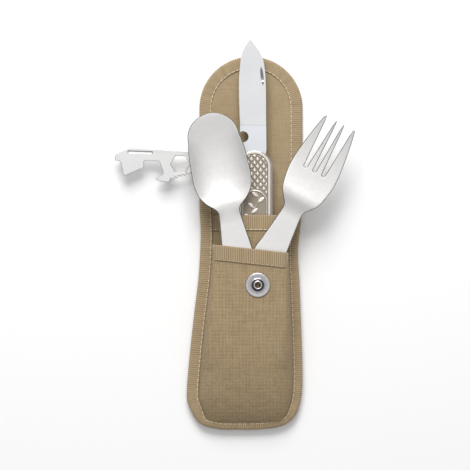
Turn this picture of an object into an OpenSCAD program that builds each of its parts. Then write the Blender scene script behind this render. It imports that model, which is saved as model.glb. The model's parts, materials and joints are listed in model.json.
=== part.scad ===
// Picnic cutlery set in a canvas belt pouch: folding knife with a cap lifter and can opener,
// spoon and fork. The pouch lies on its back with the flap open. Millimetres, +Z up.
// The origin is on the back face of the belt loop, +Y runs towards the flap.

/* [Pouch] */
// Radius of the rounded flap
flap_r = 31; // [30.5:0.5:31.5]
// Distance from the origin to the centre of the flap's round end
flap_centre_y = 81; // [80:0.5:82]
// Distance from the origin to the line where the flap folds
fold_y = 35.4; // [34:0.2:36]
// Width of the woven edge tape on each face
tape_w = 7.3; // [6:0.1:8]
// Thickness of one layer of canvas
canvas_t = 0.8; // [0.6:0.1:0.9]
// Thickness of the edge tape
tape_t = 0.6; // [0.4:0.1:0.6]
// Width of the belt loop
loop_w = 38; // [30:1:44]
// Diameter of the snap stud's flange
stud_d = 14.7; // [13:0.1:15.5]

/* [Knife] */
// Width of the handle
handle_w = 19.4; // [19:0.1:20]
// Length of the handle
handle_l = 105; // [100:1:110]
// Thickness of each scale, with its relief
scale_t = 2.2; // [2:0.1:2.4]
// Thickness of each liner
liner_t = 0.6; // [0.5:0.1:0.7]
// Thickness of the blade and of the opener
tool_t = 2; // [1.6:0.1:2]
// Distance from the origin to the blade's tip
tip_y = 122; // [115:1:124]
// Distance across the flats of the hexagon wrench hole
hex_af = 10; // [8:0.5:11]

/* [Spoon and fork] */
// Thickness of the stamped sheet
sheet_t = 1.5; // [1.2:0.1:1.5]
// Overall length of the spoon, and of the fork
cutlery_l = 120; // [112:1:125]
// Depth of the spoon's bowl
bowl_depth = 8; // [5:0.5:8.5]
// Height of the step between handle and bowl
spoon_step = 2.5; // [2:0.5:4]
// Height of the step between handle and tines
fork_step = 3.5; // [2:0.5:5]

/* [Hidden] */

gap = 0.3;                        // air between pieces that move past each other
play = 0.05;                      // running clearance of a folding tool
fine = 0.01;                      // overlap that makes a cut clean
$fn = 48;

// Heights of the layers, from the table up
loop_t = 1.2;                                   // belt loop webbing
body_z = loop_t + gap;                          // underside of the pouch body
panel_t = tape_t + canvas_t;                    // padded canvas panel
lining_t = 0.6;
body_lining_z = body_z + panel_t;
body_floor = body_lining_z + lining_t;          // what the knife lies on
flap_floor = panel_t + lining_t;
edge_top = body_floor + 2 * canvas_t;           // top of the sewn edge, below the tape
knife_z = body_floor + gap;
layer_t = tool_t + 2 * play;
rear_liner_z = knife_z + scale_t;
opener_z = rear_liner_z + liner_t;
middle_liner_z = opener_z + layer_t;
blade_z = middle_liner_z + liner_t;
front_liner_z = blade_z + layer_t;
front_scale_z = front_liner_z + liner_t;
knife_top = front_scale_z + scale_t;
mouth_tape_t = 0.5;
knife_pocket_z = knife_top + gap + mouth_tape_t;            // underside over the handle
fork_z = knife_pocket_z + canvas_t + mouth_tape_t + gap;
spoon_z = fork_z + sheet_t + gap;
cutlery_pocket_z = spoon_z + sheet_t + gap + mouth_tape_t;  // underside over the handles
stud_z = cutlery_pocket_z + canvas_t;

// Pouch outline: [distance along the pouch, half-side position]
left_side = [[-112.2, -16], [-111.9, -19.3], [-109.5, -28.9], [-104.7, -33.8], [-96.6, -37.8],
             [-88.6, -38.6], [-64.5, -36.6], [-40, -33.9], [-18.6, -31.4], [5, -30.3],
             [22, -31], [50, -31], [flap_centre_y, -flap_r]];
right_side = [[-112.2, 0], [-111.1, 13.6], [-107.9, 22.5], [-100.7, 28.1], [-88.6, 30.7],
              [-72.6, 30.9], [-48.4, 30.1], [-24.4, 29.2], [-5, 28.3], [10, 29.8],
              [22, 30.6], [50, 31], [flap_centre_y, flap_r]];

// A smooth curve through the points, with `n` steps a span
function curve(p, n) = [for (i = [0:len(p) - 2], k = [0:n - 1])
    let (a = p[max(i - 1, 0)], b = p[i], c = p[i + 1], d = p[min(i + 2, len(p) - 1)], t = k / n)
    0.5 * (2 * b + t * (c - a) + t * t * (2 * a - 5 * b + 4 * c - d)
    + t * t * t * (3 * b - a - 3 * c + d))];
function flipped(p) = [for (i = [len(p) - 1:-1:0]) p[i]];
function swapped(p) = [for (q = p) [q[1], q[0]]];
function arc(c, r, a0, a1, n) = [for (i = [0:n])
    let (a = a0 + (a1 - a0) * i / n) [c[0] + r * cos(a), c[1] + r * sin(a)]];
// The closed outline moved inwards by d, for points that run anticlockwise
function inset(p, d) = [for (i = [0:len(p) - 1])
    let (a = p[(i + len(p) - 1) % len(p)], b = p[(i + 1) % len(p)], v = b - a)
    p[i] + d * [-v[1], v[0]] / norm(v)];

pouch_outline = concat(swapped(curve(right_side, 3)),
                       arc([0, flap_centre_y], flap_r, 0, 180, 24),
                       flipped(swapped(curve(left_side, 3))));
function left_x(y) = lookup(y, left_side);
function right_x(y) = lookup(y, right_side);
function blend(t) = let (u = min(max(t, 0), 1)) u * u * (3 - 2 * u);

// Sewn seam: where a pocket leaves the flat edge. The fork's handle is close to it on the right.
wall_out = 1.5;
function seam_left(y) = left_x(y) + tape_w;
function seam_right(y) = right_x(y) - tape_w + wall_out;
seam_bottom = -107.5;

// Underside of the knife pocket at x, y
knife_end_y = fold_y + 19.7 - handle_l;
function knife_pocket_rise(y) = blend((y - seam_bottom) / (knife_end_y - 2 - seam_bottom));
function knife_pocket_under(x, y) = let (
    left = blend((x - seam_left(y)) / (handle_left - 1 - seam_left(y))),
    right = blend((seam_right(y) - x) / (seam_right(y) - handle_left - handle_w - 2)))
    body_floor + (knife_pocket_z - body_floor) * min(left, right) * knife_pocket_rise(y);

// Underside of the cutlery pocket at x, y: boxy at the mouth, rounder lower down
full_y = -46;
function fullness(y) = let (t = min(max((full_y - y) / (full_y - seam_bottom), 0), 1))
    pow(1 - pow(t, 2.4), 0.6);
function cutlery_pocket_under(x, y) = let (
    mid = (seam_left(y) + seam_right(y)) / 2,
    half = (seam_right(y) - seam_left(y)) / 2,
    s = min(abs(x - mid) / half, 1),
    p = 30 - 25 * min(max((full_y + 30 - y) / 60, 0), 1),
    base = body_floor + canvas_t)
    base + (cutlery_pocket_z - base) * sqrt(1 - pow(s, p)) * fullness(y);

// The mouths of the two pockets
knife_mouth_y = 16.2;
function knife_mouth(x) = knife_mouth_y;
function cutlery_mouth(x) = -3.9 - 0.11 * x;
mouth_tape_w = 9;

// Handle and its pivot. The blade folds to the left, and the springs run down the right side.
handle_left = -7.6;
handle_x = handle_left + handle_w / 2;
handle_top_y = fold_y + 19.7;
pivot = [1.1, 45.4];
spring_left = 9.8;
spring_right = 12.8;
pin_r = 1.5;
small_pin_r = 0.7;
spring_pin_at = [10.8, 0];
end_pin_at = [8.2, -43];
pin_bite = 1.2;                   // how far a pin goes into each scale

stud_at = [4, -25];
socket_at = [2.6, 2 * fold_y - stud_at[1]];
post_r = 2.5;

spoon_neck = [-13.4, 20];
spoon_lean = 11.9;
fork_neck = [25.1, 19.7];
fork_lean = -28.4;
bowl_l = 58.5;
head_l = 58.8;

canvas_colour = "#a98f63";
tape_colour = "#9c8258";
steel_colour = "#d9d9d6";
silver_colour = "#b3ab98";

// ---------------------------------------------------------------- soft pieces

module outline(d) { polygon(inset(pouch_outline, d)); }
module above_fold() { translate([-50, fold_y + gap]) square([100, 100]); }
module below_fold() { translate([-50, -130]) square([100, 130 + fold_y - gap]); }
module slab(z, t) { translate([0, 0, z]) linear_extrude(t) children(); }

// A padded panel: thick inside the seam, one canvas thick in the tape
module panel(z) {
    slab(z, panel_t) intersection() { outline(tape_w + 0.2); children(); }
    slab(z + tape_t, canvas_t) intersection() { outline(tape_t); children(); }
}

// Edge tape folded over the edge: two legs and the web between them
module edge_tape(z, top) {
    slab(z, tape_t) ring(0, tape_w) children(0);
    slab(z, top + tape_t - z) ring(0, tape_t) children(0);
    slab(top, tape_t) difference() { ring(0, tape_w) children(0); if ($children > 1) children(1); }
}
module ring(d0, d1) {
    intersection() {
        difference() { outline(d0); outline(d1); }
        children();
    }
}

// A closed skin between two height functions over a grid of columns and rows.
// Each entry of `grid` is one row of [x, y] points.
module skin(grid, under, t) {
    rows = len(grid);
    cols = len(grid[0]);
    low = [for (r = grid, q = r) [q[0], q[1], under(q[0], q[1])]];
    high = [for (q = low) [q[0], q[1], q[2] + t]];
    n = rows * cols;
    edge = concat([for (c = [0:cols - 2]) c],
                  [for (r = [0:rows - 2]) r * cols + cols - 1],
                  [for (c = [cols - 1:-1:1]) (rows - 1) * cols + c],
                  [for (r = [rows - 1:-1:1]) r * cols]);
    faces = concat(
        [for (r = [0:rows - 2], c = [0:cols - 2], h = [0, 1]) let (a = r * cols + c)
            h == 0 ? [a, a + 1, a + cols + 1] : [a, a + cols + 1, a + cols]],
        [for (r = [0:rows - 2], c = [0:cols - 2], h = [0, 1]) let (a = n + r * cols + c)
            h == 0 ? [a + cols + 1, a + 1, a] : [a + cols, a + cols + 1, a]],
        [for (i = [0:len(edge) - 1], h = [0, 1]) let (a = edge[i], b = edge[(i + 1) % len(edge)])
            h == 0 ? [b, a, a + n] : [b, a + n, b + n]]);
    polyhedron(concat(low, high), faces, convexity = 6);
}

// Columns across a pocket, closest together where the side wall is steep
pocket_cols = 20;
function across(y) = let (l = seam_left(y), r = seam_right(y)) concat(
    [left_x(y) - 1],
    [for (i = [0:pocket_cols]) let (a = 180 * i / pocket_cols) l + (r - l) * (1 - cos(a)) / 2],
    [right_x(y) + 1]);
// A row of points across a pocket: `row` from the mouth at `top`, following the mouth's slant near it
function row_points(row, top, mouth) = let (near = max((row - full_y) / (top - full_y), 0))
    [for (c = [0:pocket_cols + 2]) let (y = row + near * (mouth(across(row)[c]) - top)) [across(y)[c], y]];
module pocket(mouth, ys, under) {
    intersection() {
        skin([for (row = ys) row_points(row, ys[0], mouth)], under, canvas_t);
        slab(0, stud_z + 2) outline(tape_t + fine);
    }
}

// Tape folded over a pocket's mouth: a C-shaped section swept from column `skip` to the last but `skip`
module mouth_tape(mouth, under, skip) {
    top = mouth(0);
    rim = row_points(top, top, mouth);
    foot = row_points(top - mouth_tape_w, top, mouth);
    rings = [for (c = [skip:pocket_cols + 2 - skip])
        let (x = rim[c][0], y = rim[c][1], low = under(x, y) - play, high = low + canvas_t + 2 * play,
             t = mouth_tape_t - play, u = foot[c][0], v = foot[c][1],
             low_foot = under(u, v) - play, high_foot = low_foot + canvas_t + 2 * play)
        [[u, v, high_foot + t], [x, y + mouth_tape_t, high + t], [x, y + mouth_tape_t, low - t],
         [u, v, low_foot - t], [u, v, low_foot], [x, y + play, low], [x, y + play, high],
         [u, v, high_foot]]];
    n = len(rings[0]);
    last = len(rings) - 1;
    faces = concat(
        [[for (i = [0:n - 1]) i]],
        [for (c = [0:last - 1], i = [0:n - 1], h = [0, 1])
            let (a = c * n + i, b = c * n + (i + 1) % n)
            h == 0 ? [a, a + n, b + n] : [a, b + n, b]],
        [[for (i = [n - 1:-1:0]) last * n + i]]);
    polyhedron([for (q = rings, v = q) v], faces, convexity = 6);
}
// What the pockets cover, which the upper leg of the edge tape leaves free
module pocket_footprint() {
    ys = [seam_bottom - play, for (y = [seam_bottom + 1.5:3:knife_mouth_y]) y, knife_mouth_y + 1];
    polygon(concat([for (y = ys) [seam_right(y) + play, y]],
                   [for (y = flipped(ys)) [seam_left(y) - play, y]]));
}

module belt_loop() {
    color(tape_colour) {
        slab(0, loop_t) translate([-loop_w / 2, -48]) square([loop_w, 78]);
        for (y = [-48, 22])
            slab(loop_t - fine, gap + fine) translate([-loop_w / 2, y]) square([loop_w, 8]);
    }
}
module back_panel() {
    color(canvas_colour) translate([0, 0, body_z]) panel(0) below_fold();
}
module body_lining() {
    color(canvas_colour)
        slab(body_lining_z, lining_t) intersection() { outline(tape_t); below_fold(); }
}
module below_mouth() {
    translate([-50, -130]) square([100, 130 + knife_mouth_y]);
}
module body_edge_tape() {
    color(tape_colour) {
        edge_tape(body_z, edge_top) { below_mouth(); pocket_footprint(); }
        edge_tape(body_z, body_floor) difference() { below_fold(); below_mouth(); }
    }
}
module knife_pocket() {
    rows = [knife_mouth_y, 7.2, -10, -28, -44, -54, -64, -74, -84, -93, -100, -105, seam_bottom, -114];
    color(canvas_colour)
        pocket(function(x) knife_mouth_y, rows, function(x, y) knife_pocket_under(x, y));
}
module knife_pocket_tape() {
    color(tape_colour)
        mouth_tape(function(x) knife_mouth_y, function(x, y) knife_pocket_under(x, y), 4);
}
module cutlery_pocket() {
    m = cutlery_mouth(0);
    rows = [m, m - mouth_tape_w, -30, full_y, -56, -66, -75, -83, -90, -96, -101, -105, seam_bottom, -114];
    color(canvas_colour) difference() {
        pocket(function(x) cutlery_mouth(x), rows, function(x, y) cutlery_pocket_under(x, y));
        translate([stud_at[0], stud_at[1], cutlery_pocket_z - 1]) cylinder(r = post_r + play, h = 4);
    }
}
module cutlery_pocket_tape() {
    color(tape_colour)
        mouth_tape(function(x) cutlery_mouth(x), function(x, y) cutlery_pocket_under(x, y), 2);
}
module flap_panel() {
    color(canvas_colour) difference() {
        panel(0) above_fold();
        translate([socket_at[0], socket_at[1], -1]) {
            cylinder(d = stud_d + 0.4, h = 1.9);
            cylinder(r = post_r + play, h = 4);
        }
    }
}
module flap_lining() {
    color(canvas_colour) difference() {
        slab(panel_t, lining_t) intersection() { outline(tape_t); above_fold(); }
        translate([socket_at[0], socket_at[1], 0]) cylinder(r = post_r + play, h = 4);
    }
}
module flap_edge_tape() {
    color(tape_colour) edge_tape(0, flap_floor) above_fold();
}

// ---------------------------------------------------------------- press stud

module turned(p) { rotate_extrude($fn = 64) polygon(p); }

// Stud on the pocket: dished flange with a rolled nub, open in the middle for the post
module snap_stud() {
    r = stud_d / 2;
    color(steel_colour) translate([stud_at[0], stud_at[1], stud_z])
        turned([[post_r, 0], [r - 0.4, 0], [r, 0.35], [r, 0.75], [r - 0.8, 0.95], [4.4, 0.6],
                [3.7, 0.75], [3.4, 1.3], [3.55, 2.4], [3.2, 2.9], [2.9, 3], [post_r, 3]]);
}
// Hollow post that clamps the stud to the canvas
module snap_post() {
    under = -canvas_t - 0.5;
    color(steel_colour) translate([stud_at[0], stud_at[1], stud_z])
        turned([[1.5, under], [5, under], [5, -canvas_t], [post_r, -canvas_t], [post_r, 3.1],
                [2.2, 3.3], [1.5, 3.1]]);
}
module snap_socket() {
    color(steel_colour) translate([socket_at[0], socket_at[1], flap_floor])
        turned([[post_r, 0], [5.8, 0], [5.8, 0.9], [5.3, 1.4], [4.2, 1.4], [4.2, 0.5], [post_r, 0.5]]);
}
// Open wire ring that grips the stud
module snap_spring() {
    color(steel_colour) translate([socket_at[0], socket_at[1], flap_floor + 0.85])
        rotate([0, 0, 20]) rotate_extrude(angle = 320) translate([3.85, 0]) circle(r = 0.3, $fn = 16);
}
module snap_cap() {
    r = stud_d / 2;
    color(steel_colour) translate([socket_at[0], socket_at[1], 0])
        turned([[0, 0], [r - 0.3, 0], [r, 0.3], [r, 0.8], [post_r, 0.8], [post_r, flap_floor + 0.7],
                [0, flap_floor + 0.7]]);
}

// ---------------------------------------------------------------- knife

// Plate with two round ends, d shorter than the handle at each
module handle_plate(x0, x1, d = 0) {
    r = (x1 - x0) / 2;
    x = (x0 + x1) / 2;
    bottom = handle_top_y - handle_l + d;
    translate([x, handle_top_y - d - r]) circle(r, $fn = 96);
    translate([x, bottom + r]) circle(r, $fn = 96);
    translate([x0, bottom + r]) square([2 * r, handle_l - 2 * (d + r)]);
}
module pins(extra) {
    translate(pivot) circle(pin_r + extra);
    translate(spring_pin_at) circle(small_pin_r + extra);
    translate(end_pin_at) circle(small_pin_r + extra);
}
module pin_at(p, r) {
    color(steel_colour) translate([p[0], p[1], rear_liner_z - pin_bite])
        cylinder(r = r, h = front_scale_z - rear_liner_z + 2 * pin_bite);
}
module pivot_pin() { pin_at(pivot, pin_r); }
module spring_pin() { pin_at(spring_pin_at, small_pin_r); }
module end_pin() { pin_at(end_pin_at, small_pin_r); }

// Cast scale: a sunk field with a border, a lattice of diamonds and an arch left standing in it
relief = 0.4;
border_w = 1.9;
diamond_pitch = [4.1, 3.7];
diamond_side = 2.2;
arch_top = 32;
arch_w = 1.2;
module scale_field() {
    inner = handle_w / 2 - border_w;
    difference() {
        handle_plate(handle_left + border_w, handle_left + handle_w - border_w, border_w);
        translate([handle_x, arch_top - inner]) difference() {
            circle(inner + 0.4, $fn = 96);
            circle(inner - arch_w, $fn = 96);
            translate([-20, -40]) square([40, 40]);
        }
        for (row = [0:5], col = [-1.5:1.5])
            let (x = handle_x + (col + (row % 2) / 2) * diamond_pitch[0],
                 y = arch_top + 2.6 + row * diamond_pitch[1])
            if (norm([x - handle_x, max(y - handle_top_y + handle_w / 2, 0)]) < inner - 1.8)
                translate([x, y]) rotate(45) square(diamond_side, center = true);
    }
}
module cast_scale() {
    difference() {
        linear_extrude(scale_t) handle_plate(handle_left, handle_left + handle_w);
        translate([0, 0, scale_t - relief]) linear_extrude(1) scale_field();
        translate([0, 0, -fine]) linear_extrude(pin_bite + fine) pins(0);
    }
}
module front_scale() {
    color(silver_colour) translate([0, 0, front_scale_z]) cast_scale();
}
module rear_scale() {
    color(silver_colour) translate([0, 0, knife_z + scale_t]) mirror([0, 0, 1]) cast_scale();
}
module liner(z) {
    color(steel_colour) slab(z, liner_t) difference() {
        handle_plate(handle_left + gap, spring_right);
        pins(0);
    }
}
module front_liner() { liner(front_liner_z); }
module middle_liner() { liner(middle_liner_z); }
module rear_liner() { liner(rear_liner_z); }

// Back spring: a bar down the right side that widens into the handle's end
module back_spring(z) {
    color(steel_colour) slab(z, layer_t) difference() {
        union() {
            translate([spring_left, -39]) square([spring_right - spring_left, 86.5]);
            translate([(spring_left + spring_right) / 2, 47.5]) circle(d = spring_right - spring_left);
            intersection() {
                handle_plate(handle_left + gap, spring_right);
                translate([-20, -60]) square([40, 20.5]);
            }
            intersection() {
                handle_plate(handle_left + gap, spring_right);
                translate([spring_left, -45]) square([4, 10]);
            }
        }
        pins(0);
    }
}
module blade_spring() { back_spring(blade_z); }
module opener_spring() { back_spring(opener_z); }

// Spear-point blade, open: edge on the left, spine on the right
plunge_y = 70.5;
grind_x = 0.6;
module blade_outline() {
    edge = [[-6.6, 70], [-7.1, 86], [-7.2, 98], [-6.3, 109], [-5.5, 113], [-3.2, 118], [-0.4, tip_y]];
    spine = [[-0.4, tip_y], [2.6, 118], [4.9, 114.6], [6.9, 110.6], [8.1, 104.8], [8.8, 95.6],
             [9, 76], [9.2, 56]];
    polygon(concat(curve(edge, 4), curve(spine, 4), [[9.2, 56], [8.2, 50]],
                   arc(pivot, 5.3, 0, -180, 24), [[-4.6, 52], [-6.6, 57]]));
}
module knife_blade() {
    nick = 12;
    color(steel_colour) difference() {
        slab(blade_z + play, tool_t) difference() {
            blade_outline();
            translate(pivot) circle(pin_r + play);
            translate([-4.8, 63.6]) circle(3.3);
        }
        for (side = [0, 1])
            translate([0, plunge_y, blade_z + play + tool_t / 2]) mirror([0, 0, side])
                rotate([-90, 0, 0]) linear_extrude(60)
                    polygon([[grind_x, -tool_t / 2], [grind_x, -tool_t], [-9, -tool_t], [-9, -0.1],
                             [-7.4, -0.15]]);
        translate([6.6, 99.9, blade_z + play + tool_t + nick - 0.5]) rotate([0, 0, 6.3])
            rotate([0, 90, 0]) cylinder(r = nick, h = 1.4, center = true, $fn = 128);
    }
}

// Cap lifter and can opener, half open: it points left
tooth_pitch = 2.4;
module opener_outline() {
    back = [[-81.6, 49.4], [-81.4, 52.5], [-79.1, 54.4], [-73.7, 56.7], [-72.2, 57.1],
            [-58.9, 56.3], [-44.7, 55.2], [-8, 53]];
    hook = [[-49.1, 36.4], [-53.9, 36.8], [-57.3, 38.4], [-53.9, 40.4], [-52.7, 41.4],
            [-52.9, 43.3], [-55, 49], [-63.1, 49.4], [-64.2, 48.7], [-64.2, 45.2],
            [-76.3, 40.1], [-78, 47.9], [-79.1, 49.4]];
    saw = [for (x = [-22.8:-tooth_pitch:-48], h = [0, 1])
        let (y = 42.6 - 0.0082 * pow(x + 22.8, 2)) h == 0 ? [x, y] : [x - tooth_pitch / 2, y + 0.9]];
    polygon(concat(back, arc(pivot, 7.4, 100, -100, 30), [[-8, 39], [-20.5, 40.4]], saw, hook));
}
module opener() {
    color(steel_colour) difference() {
        slab(opener_z + play, tool_t) difference() {
            opener_outline();
            translate(pivot) circle(pin_r + play);
            translate([-42.4, 47.2]) circle(d = hex_af / cos(30), $fn = 6);
        }
        translate([-73.7, 54, opener_z + play + tool_t - 0.5]) rotate([0, 0, -2]) cube([14.5, 1.2, 1]);
    }
}

// ---------------------------------------------------------------- spoon and fork

handle_end = bowl_l - cutlery_l;
spoon_sides = [[handle_end, 6.5], [handle_end + 1.2, 8.6], [handle_end + 4, 9.7], [-36, 9.6],
               [-24, 8.9], [-12, 7.5], [-5, 6.7], [0, 6.9], [5, 12], [10, 15.6], [15, 17],
               [20, 17.5], [30, 17.2], [38, 16.5], [43, 15.5]];
function spoon_half(u) = u < 43 ? lookup(u, spoon_sides)
                                : 15.5 * pow(1 - pow((u - 43) / 15.6, 2.2), 0.52);
function bowl(u) = let (v = min(abs((u - 28.5) / (bowl_l - 28.5)), 1))
    bowl_depth * pow(1 - pow(v, 2.3), 0.8);
function spoon_under(x, y) = let (s = min(abs(x) / spoon_half(y), 1))
    spoon_step * blend((y + 6) / 9) - bowl(y) * (1 - pow(s, 2.2));
module spoon() {
    low = [for (q = spoon_sides) if (q[0] <= 0) q[0]];
    high = [2.5, 5, 7.5, 10, 12.5, 15, 20, 25, 30, 34, 38, 43, 47, 50.5, 53.5, 56, 57.6, 58.4];
    color(steel_colour) place(spoon_neck, spoon_lean, spoon_z)
        skin([for (u = concat(low, high)) [for (k = [0:14]) [-spoon_half(u) * cos(180 * k / 14), u]]],
             function(x, y) spoon_under(x, y), sheet_t);
}
module place(at, lean, z) { translate([at[0], at[1], z]) rotate([0, 0, lean]) children(); }

fork_end = head_l - cutlery_l;
slot_bottom = 26;
slot_pitch = 6;
fork_side = [[8.6, fork_end + 1.2], [9.7, fork_end + 4], [9.6, -32], [8.7, -24], [6.9, -9],
             [6.4, 0], [9.6, 5], [12.6, 10], [14.7, 20], [14.9, 27], [14.1, 36], [12.3, 48],
             [10.5, 57], [9.7, head_l]];
// Slot k of the three between the tines, widening to the tips
module slot(x, tip_left, tip_right) {
    w = 1.05;
    translate([x, slot_bottom + w]) circle(w, $fn = 24);
    polygon([[x - w, slot_bottom + w], [x + w, slot_bottom + w], [tip_right, head_l + 0.5],
             [tip_left, head_l + 0.5]]);
}
module fork_outline() {
    side = curve(fork_side, 3);
    right = concat([[7, fork_end]], side, [[9.7, head_l]]);
    difference() {
        polygon(concat(right, [for (q = flipped(right)) [-q[0], q[1]]]));
        slot(-slot_pitch, -8.7, -3.1);
        slot(0, -1.9, 1.9);
        slot(slot_pitch, 3.1, 8.7);
    }
}
// Height of the fork's underside along its length: handle, step, and a shallow scoop
function fork_rise(u) = u < 0 ? 0
    : u < 7 ? fork_step * blend(u / 7)
    : fork_step - 1.6 + 1.6 * pow((u - 27) / 20, 2);
module fork() {
    us = concat([fork_end - 1, 0], [for (u = [1:1:7]) u], [for (u = [9:4:head_l + 3]) u]);
    color(steel_colour) place(fork_neck, fork_lean, fork_z) intersection() {
        translate([0, 0, -5]) linear_extrude(20) fork_outline();
        rotate([90, 0, 90]) linear_extrude(60, center = true)
            polygon(concat([for (u = us) [u, fork_rise(u)]],
                           [for (u = flipped(us)) [u, fork_rise(u) + sheet_t]]));
    }
}

belt_loop();
back_panel();
body_lining();
body_edge_tape();
knife_pocket();
knife_pocket_tape();
cutlery_pocket();
cutlery_pocket_tape();
snap_stud();
snap_post();
flap_panel();
flap_lining();
flap_edge_tape();
snap_socket();
snap_spring();
snap_cap();
front_scale();
rear_scale();
front_liner();
middle_liner();
rear_liner();
blade_spring();
opener_spring();
pivot_pin();
spring_pin();
end_pin();
knife_blade();
opener();
spoon();
fork();
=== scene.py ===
"""Looks of the picnic cutlery set: canvas pouch, tape, stitching, steel and cast silver."""
import json
import math

import bmesh
import bpy
import numpy as np
from mathutils import Matrix, Vector
from mathutils.geometry import delaunay_2d_cdt
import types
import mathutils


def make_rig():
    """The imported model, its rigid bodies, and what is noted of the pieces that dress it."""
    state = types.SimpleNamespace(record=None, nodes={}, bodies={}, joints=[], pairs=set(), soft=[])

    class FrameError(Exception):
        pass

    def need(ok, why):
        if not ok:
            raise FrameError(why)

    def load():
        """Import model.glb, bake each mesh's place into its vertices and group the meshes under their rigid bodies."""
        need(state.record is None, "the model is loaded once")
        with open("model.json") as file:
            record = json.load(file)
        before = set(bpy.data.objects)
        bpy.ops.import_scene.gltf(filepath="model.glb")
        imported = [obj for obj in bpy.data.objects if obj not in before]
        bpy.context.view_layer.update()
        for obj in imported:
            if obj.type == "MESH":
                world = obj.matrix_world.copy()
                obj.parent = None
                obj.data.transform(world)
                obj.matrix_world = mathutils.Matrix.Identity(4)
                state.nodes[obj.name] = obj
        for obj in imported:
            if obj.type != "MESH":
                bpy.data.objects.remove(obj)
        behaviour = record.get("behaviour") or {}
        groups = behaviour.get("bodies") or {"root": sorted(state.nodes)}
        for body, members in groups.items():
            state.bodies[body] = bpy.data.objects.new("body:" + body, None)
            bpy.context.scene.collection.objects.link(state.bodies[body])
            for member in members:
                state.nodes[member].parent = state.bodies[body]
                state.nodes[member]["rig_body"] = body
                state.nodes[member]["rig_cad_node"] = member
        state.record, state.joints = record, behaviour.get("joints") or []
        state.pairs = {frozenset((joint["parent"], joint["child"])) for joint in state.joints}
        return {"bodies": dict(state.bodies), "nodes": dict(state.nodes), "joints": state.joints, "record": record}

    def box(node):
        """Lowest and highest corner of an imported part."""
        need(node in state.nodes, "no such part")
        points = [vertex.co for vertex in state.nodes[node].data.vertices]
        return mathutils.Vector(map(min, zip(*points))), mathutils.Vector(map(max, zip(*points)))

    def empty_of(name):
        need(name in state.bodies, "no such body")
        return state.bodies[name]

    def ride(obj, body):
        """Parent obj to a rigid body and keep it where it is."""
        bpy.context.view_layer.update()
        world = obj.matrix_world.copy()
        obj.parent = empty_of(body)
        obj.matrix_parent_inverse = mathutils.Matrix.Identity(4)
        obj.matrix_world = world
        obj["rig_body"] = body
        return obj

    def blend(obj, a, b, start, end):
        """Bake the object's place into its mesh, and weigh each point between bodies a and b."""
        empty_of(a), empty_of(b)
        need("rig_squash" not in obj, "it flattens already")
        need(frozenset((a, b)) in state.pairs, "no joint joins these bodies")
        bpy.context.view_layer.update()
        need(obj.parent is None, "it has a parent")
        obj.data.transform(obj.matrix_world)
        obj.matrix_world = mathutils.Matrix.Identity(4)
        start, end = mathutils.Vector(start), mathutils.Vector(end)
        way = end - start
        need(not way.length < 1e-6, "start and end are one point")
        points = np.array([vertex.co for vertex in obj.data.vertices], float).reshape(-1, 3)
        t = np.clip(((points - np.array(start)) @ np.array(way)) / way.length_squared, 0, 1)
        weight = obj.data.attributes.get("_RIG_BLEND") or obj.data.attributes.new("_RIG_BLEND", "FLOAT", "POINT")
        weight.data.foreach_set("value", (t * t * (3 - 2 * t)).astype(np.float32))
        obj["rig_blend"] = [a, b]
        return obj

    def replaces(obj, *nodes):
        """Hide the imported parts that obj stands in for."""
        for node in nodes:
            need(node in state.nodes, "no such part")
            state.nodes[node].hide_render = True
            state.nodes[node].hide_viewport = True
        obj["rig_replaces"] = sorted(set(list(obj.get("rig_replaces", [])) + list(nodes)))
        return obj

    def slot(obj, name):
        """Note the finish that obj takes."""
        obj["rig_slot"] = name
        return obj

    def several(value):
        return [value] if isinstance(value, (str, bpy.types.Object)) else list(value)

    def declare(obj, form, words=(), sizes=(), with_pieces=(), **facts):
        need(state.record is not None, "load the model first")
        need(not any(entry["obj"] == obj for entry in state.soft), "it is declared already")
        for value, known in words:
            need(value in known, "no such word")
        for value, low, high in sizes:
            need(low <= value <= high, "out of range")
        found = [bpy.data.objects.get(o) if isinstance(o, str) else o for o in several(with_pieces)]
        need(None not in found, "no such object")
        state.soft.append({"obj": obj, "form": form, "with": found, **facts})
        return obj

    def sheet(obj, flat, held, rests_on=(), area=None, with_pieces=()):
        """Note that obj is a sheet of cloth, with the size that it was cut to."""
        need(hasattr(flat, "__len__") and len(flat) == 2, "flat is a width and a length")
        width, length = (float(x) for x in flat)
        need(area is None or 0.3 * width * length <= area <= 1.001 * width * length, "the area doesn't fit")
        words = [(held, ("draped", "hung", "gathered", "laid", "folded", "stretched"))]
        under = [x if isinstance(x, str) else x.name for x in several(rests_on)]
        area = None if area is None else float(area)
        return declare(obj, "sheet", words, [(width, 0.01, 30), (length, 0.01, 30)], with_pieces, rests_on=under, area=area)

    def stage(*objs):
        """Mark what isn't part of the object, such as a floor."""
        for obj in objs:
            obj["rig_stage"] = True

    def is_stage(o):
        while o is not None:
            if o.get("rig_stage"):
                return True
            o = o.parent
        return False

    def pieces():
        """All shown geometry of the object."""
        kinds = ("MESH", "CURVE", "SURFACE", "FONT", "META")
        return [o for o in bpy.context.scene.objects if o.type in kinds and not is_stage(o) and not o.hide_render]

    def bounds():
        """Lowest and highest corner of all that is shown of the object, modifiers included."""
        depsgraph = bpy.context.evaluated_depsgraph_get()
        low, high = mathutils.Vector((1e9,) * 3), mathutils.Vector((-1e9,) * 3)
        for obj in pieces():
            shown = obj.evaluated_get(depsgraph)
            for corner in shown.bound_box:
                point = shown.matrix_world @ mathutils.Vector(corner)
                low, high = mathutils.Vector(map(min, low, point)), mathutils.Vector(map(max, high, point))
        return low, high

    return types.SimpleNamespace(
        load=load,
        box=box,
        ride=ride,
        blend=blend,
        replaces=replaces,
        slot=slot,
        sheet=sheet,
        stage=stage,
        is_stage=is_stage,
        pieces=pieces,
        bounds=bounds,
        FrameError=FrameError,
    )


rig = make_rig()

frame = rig.load()
cad_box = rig.bounds()
MM = 0.001

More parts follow.
